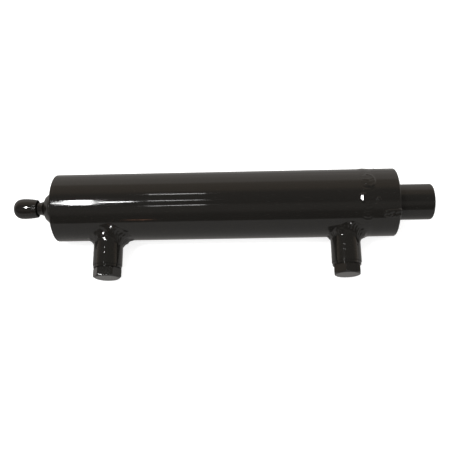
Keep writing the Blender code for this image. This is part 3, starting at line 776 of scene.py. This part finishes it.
def gland():
    """The bushing's outer face with its spanner holes, its thread and its slim nose."""
    nose_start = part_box("gland")[0].x
    nose_end = CLOSED_END + 263.5 * MM
    thread_start = TUBE_END + 0.5 * MM
    bore_fit = BORE_R - 0.4 * MM
    rod_fit = ROD_R + 0.5 * MM
    thread_r = COLLAR_BORE_R - 0.4 * MM
    corners = [
        (nose_start, rod_fit, 0.3 * MM),
        (nose_start, 20.6 * MM, 0.6 * MM),
        (nose_end, 20.6 * MM, 0.6 * MM),
        (nose_end, bore_fit, 0.6 * MM),
        (CLOSED_END + 265.0 * MM, bore_fit, 0.2 * MM),
        (CLOSED_END + 265.0 * MM, 22.2 * MM, 0.2 * MM),
        (CLOSED_END + 269.6 * MM, 22.2 * MM, 0.2 * MM),
        (CLOSED_END + 269.6 * MM, bore_fit, 0.2 * MM),
        (thread_start, bore_fit, 0.2 * MM),
        (thread_start, thread_r, 0.5 * MM),
        (GLAND_FACE, thread_r, 0.9 * MM),
        (GLAND_FACE, WIPER_R, 0.4 * MM),
        (WIPER_START - GAP, WIPER_R, 0.2 * MM),
        (WIPER_START - GAP, rod_fit, 0.2 * MM),
        (CLOSED_END + 281.0 * MM, rod_fit, 0.2 * MM),
        (CLOSED_END + 281.0 * MM, 21.2 * MM, 0.2 * MM),
        (CLOSED_END + 273.0 * MM, 21.2 * MM, 0.2 * MM),
        (CLOSED_END + 273.0 * MM, rod_fit, 0.2 * MM),
        (nose_start + 12.6 * MM, rod_fit, 0.2 * MM),
        (nose_start + 12.6 * MM, 18.7 * MM, 0.2 * MM),
        (nose_start + 3.0 * MM, 18.7 * MM, 0.2 * MM),
        (nose_start + 3.0 * MM, rod_fit, 0.2 * MM),
    ]
    depth = 5 * MM
    hole_r = 1.8 * MM
    spanner_hole = [(-depth - 0.9 * MM, 0), (-depth, hole_r), (-0.4 * MM, hole_r)]
    spanner_hole += [(0.6 * MM, hole_r + 1 * MM), (0.6 * MM, 0)]
    drills = []
    for index in range(4):
        place = Vector(polar(GLAND_FACE, 23.3 * MM, math.pi / 2 * (index + 0.5)))
        drills.append((spanner_hole, Matrix.Translation(place)))
    add_piece("gland_fine", drilled(turned(rounded(corners, 4), 160), drills), "enamel", "barrel", "gland")


def wiper_seal():
    """A press-in wiper whose lip leans out against the rod at the gland's face."""
    start, lip_end = (corner.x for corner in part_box("wiper_seal"))
    outer = WIPER_R - 0.1 * MM
    rod_fit = ROD_R + 0.12 * MM
    corners = [
        (start, rod_fit + 0.9 * MM),
        (start, outer),
        (GLAND_FACE + 0.2 * MM, outer, 0.3 * MM),
        (GLAND_FACE + 0.2 * MM, outer - 1.2 * MM, 0.3 * MM),
        (GLAND_FACE - 1.2 * MM, rod_fit + 1.5 * MM, 0.5 * MM),
        (lip_end, rod_fit + 0.5 * MM, 0.12 * MM),
        (lip_end, rod_fit, 0.12 * MM),
        (lip_end - 1.0 * MM, rod_fit),
    ]
    add_piece("wiper_seal_fine", turned(rounded(corners), 160), "nitrile", "barrel", "wiper_seal")


# ---- Rod ----


def rod():
    """The rod, with a threaded spigot inside and a tapped socket at its outer end."""
    corner = 2.1 * MM
    pitch = 1.5 * MM
    thread_depth = 0.42 * MM
    thread_r = 9.5 * MM
    spigot_r = 11.1 * MM
    shoulder = middle("piston_nut").x + 8 * MM + 36.6 * MM
    spigot_thread_end = shoulder - 34.3 * MM
    socket_end = ROD_TIP - 19.0 * MM
    samples = 6

    def thread(x, r, angle):
        """A helical V of thread_depth, faded at both ends of each threaded stretch."""
        in_socket = socket_end + 1 * MM < x < ROD_TIP - 0.6 * MM and r < SOCKET_R + 0.6 * MM
        on_spigot = ROD_START + 0.5 * MM < x < spigot_thread_end - 1 * MM and r > thread_r - 0.6 * MM
        if not (in_socket or on_spigot):
            return 0.0
        phase = x / pitch - angle / (2 * math.pi)
        return (-thread_depth if on_spigot else thread_depth) * abs(2 * (phase - math.floor(phase)) - 1)

    def run(start, end, r):
        count = round(abs(end - start) / pitch * samples)
        return [(start + (end - start) * step / count, r) for step in range(1, count)]

    outline = [(ROD_START, 0), (ROD_START, thread_r - 1 * MM), (ROD_START + 1 * MM, thread_r)]
    outline += run(ROD_START + 1 * MM, spigot_thread_end - 1 * MM, thread_r)
    outline += rounded(
        [
            (spigot_thread_end - 1 * MM, thread_r),
            (spigot_thread_end, thread_r, 0.2 * MM),
            (spigot_thread_end, spigot_r, 0.3 * MM),
            (shoulder, spigot_r, 0.3 * MM),
            (shoulder, ROD_R, 0.9 * MM),
            (ROD_TIP, ROD_R, corner),
            (ROD_TIP, SOCKET_R + 1.0 * MM, 0.3 * MM),
            (ROD_TIP - 1.0 * MM, SOCKET_R),
        ],
        8,
    )
    outline += run(ROD_TIP - 1.0 * MM, socket_end, SOCKET_R)
    outline += [(socket_end, SOCKET_R), (socket_end - 4.5 * MM, 0)]
    add_piece("rod_fine", turned(outline, 160, thread), "rod_finish", "rod", "rod")


def carried_over():
    """The inner pieces keep their CAD shape and get the finish of their slot."""
    for row in frame["record"]["subparts"]:
        node = frame["nodes"][row["node"]]
        if node.hide_render:
            continue
        node.data.materials.clear()
        node.data.materials.append(MATERIALS[row["material_slot"]])


# ---- Floor, light and camera ----


def floor():
    """A plain pale floor that glows a little, so that shadows on it stay faint."""
    bm = bmesh.new()
    bmesh.ops.create_grid(bm, x_segments=1, y_segments=1, size=6.0)
    mesh = bpy.data.meshes.new("floor")
    bm.to_mesh(mesh)
    bm.free()
    material, tree, shader = new_material("pale_floor")
    shader.inputs["Base Color"].default_value = (0.60, 0.60, 0.60, 1)
    shader.inputs["Roughness"].default_value = 0.8
    shader.inputs["Specular IOR Level"].default_value = 0.1
    shader.inputs["Emission Color"].default_value = (1, 1, 1, 1)
    shader.inputs["Emission Strength"].default_value = 0.78
    mesh.materials.append(material)
    plane = bpy.data.objects.new("floor", mesh)
    plane.visible_glossy = False
    bpy.context.scene.collection.objects.link(plane)


def area_light(name, place, size, radiance, tint=(1, 1, 1), in_gloss=True):
    """A rectangular light of an even radiance that faces the cylinder, its first size level and along X."""
    lamp = bpy.data.lights.new(name, "AREA")
    lamp.shape = "RECTANGLE"
    lamp.size, lamp.size_y = size
    lamp.energy = radiance * math.pi * size[0] * size[1]
    lamp.color = tint
    target = (0, 0, 0.03)
    light = bpy.data.objects.new(name, lamp)
    back = (Vector(place) - Vector(target)).normalized()
    side = Vector((1, 0, 0)) - back * back.x
    side.normalize()
    turn = Matrix((side, back.cross(side), back)).transposed().to_4x4()
    light.matrix_world = Matrix.Translation(place) @ turn
    light.visible_glossy = in_gloss
    bpy.context.scene.collection.objects.link(light)


def lights():
    """A key with a short strip on each side, faint strips behind it, a warm low strip and a soft panel."""
    row_y, row_z = -0.305, 1.01
    area_light("key", (-0.390, row_y, row_z), (0.05, 0.27), 130.0)
    area_light("strip_left", (-0.450, row_y, row_z), (0.05, 0.03), 45.0)
    area_light("strip_right", (-0.297, row_y, row_z), (0.08, 0.03), 60.0)
    for around in (85, 107, 123):
        y = AXIS.y + math.cos(math.radians(around))
        z = AXIS.z + math.sin(math.radians(around))
        area_light(f"faint_strip_{around}", (-0.145, y, z), (0.13, 0.025), 12.0)
    area_light("low_strip", (-0.236, -0.97, 0.20), (0.06, 0.02), 3.5, (1.0, 0.45, 0.25))
    area_light("overhead", (0.0, 0.0, 1.6), (2.6, 2.6), 0.35, in_gloss=False)


def room():
    """Pale all round, but in reflections dark overhead and in front, with a bright wall behind."""
    world = bpy.data.worlds.new("room")
    bpy.context.scene.world = world
    world.use_nodes = True
    tree = world.node_tree
    source = tree.nodes.new("ShaderNodeTexCoord")
    direction = tree.nodes.new("ShaderNodeSeparateXYZ")
    tree.links.new(source.outputs["Generated"], direction.inputs["Vector"])
    height = arithmetic(tree, "ARCTAN2", direction.outputs["Z"], direction.outputs["Y"])
    walls = tree.nodes.new("ShaderNodeValToRGB")
    tree.links.new(remap(tree, height, -math.pi, math.pi, 0.0, 1.0), walls.inputs["Fac"])
    stops = walls.color_ramp.elements
    # Degrees about X (0 the horizon behind, 90 overhead, 180 the horizon in front), radiance and warmth
    for degrees, radiance, warmth in (
        (-180, 0.48, 0.06),
        (-90, 0.40, 0.06),
        (0, 0.50, 0.10),
        (4, 0.63, 0.14),
        (38, 0.76, 0.18),
        (46, 0.48, 0.30),
        (70, 0.39, 0.36),
        (84, 0.22, 0.16),
        (118, 0.17, 0.14),
        (127, 0.27, 0.14),
        (142, 0.25, 0.14),
        (154, 0.13, 0.14),
        (178, 0.11, 0.14),
        (180, 0.48, 0.06),
    ):
        ends = {-180: stops[0], 180: stops[-1]}
        stop = ends[degrees] if degrees in ends else stops.new(0.5 + degrees / 360)
        stop.color = (radiance * (1 + warmth / 2), radiance, radiance * (1 - warmth / 2), 1)
    path = tree.nodes.new("ShaderNodeLightPath")
    seen = blended(tree, path.outputs["Is Glossy Ray"], (0.75, 0.745, 0.735), walls.outputs["Color"])
    tree.links.new(seen, tree.nodes["Background"].inputs["Color"])


def camera():
    """Looks down from the port side, a little from the rod end, with a slight roll."""
    aim = Vector((0.00434, -0.00387, AXIS.z))
    distance = 0.5597
    azimuth = math.radians(3.66)
    elevation = math.radians(55.45)
    roll = math.radians(-4.01)
    back = Vector(
        (
            math.sin(azimuth) * math.cos(elevation),
            -math.cos(azimuth) * math.cos(elevation),
            math.sin(elevation),
        )
    )
    lens = bpy.data.cameras.new("camera")
    lens.lens = 50.9
    lens.sensor_width = 36.0
    lens.clip_start = 0.01
    lens.clip_end = 50.0
    eye = bpy.data.objects.new("camera", lens)
    turn = (-back).to_track_quat("-Z", "Y").to_matrix().to_4x4() @ Matrix.Rotation(roll, 4, "Z")
    eye.matrix_world = Matrix.Translation(aim + back * distance) @ turn
    bpy.context.scene.collection.objects.link(eye)
    bpy.context.scene.camera = eye


# ---- Assembly ----

camera()
barrel_tube()
base_cap_weld()
base_stud()
base_button()
for port, x_place, clock, seed in (
    ("base", PORT_BASE_X, BASE_PLUG_CLOCK, 1.0),
    ("rod", PORT_ROD_X, ROD_PLUG_CLOCK, 40.0),
):
    port_boss(port, x_place)
    port_weld(port, x_place, seed)
    port_plug(port, x_place, clock)
    port_washer(port, x_place)
head_collar()
head_weld()
gland_lock_weld()
gland()
wiper_seal()
rod()
carried_over()
floor()
lights()
room()
bpy.context.scene.view_settings.view_transform = "Standard"
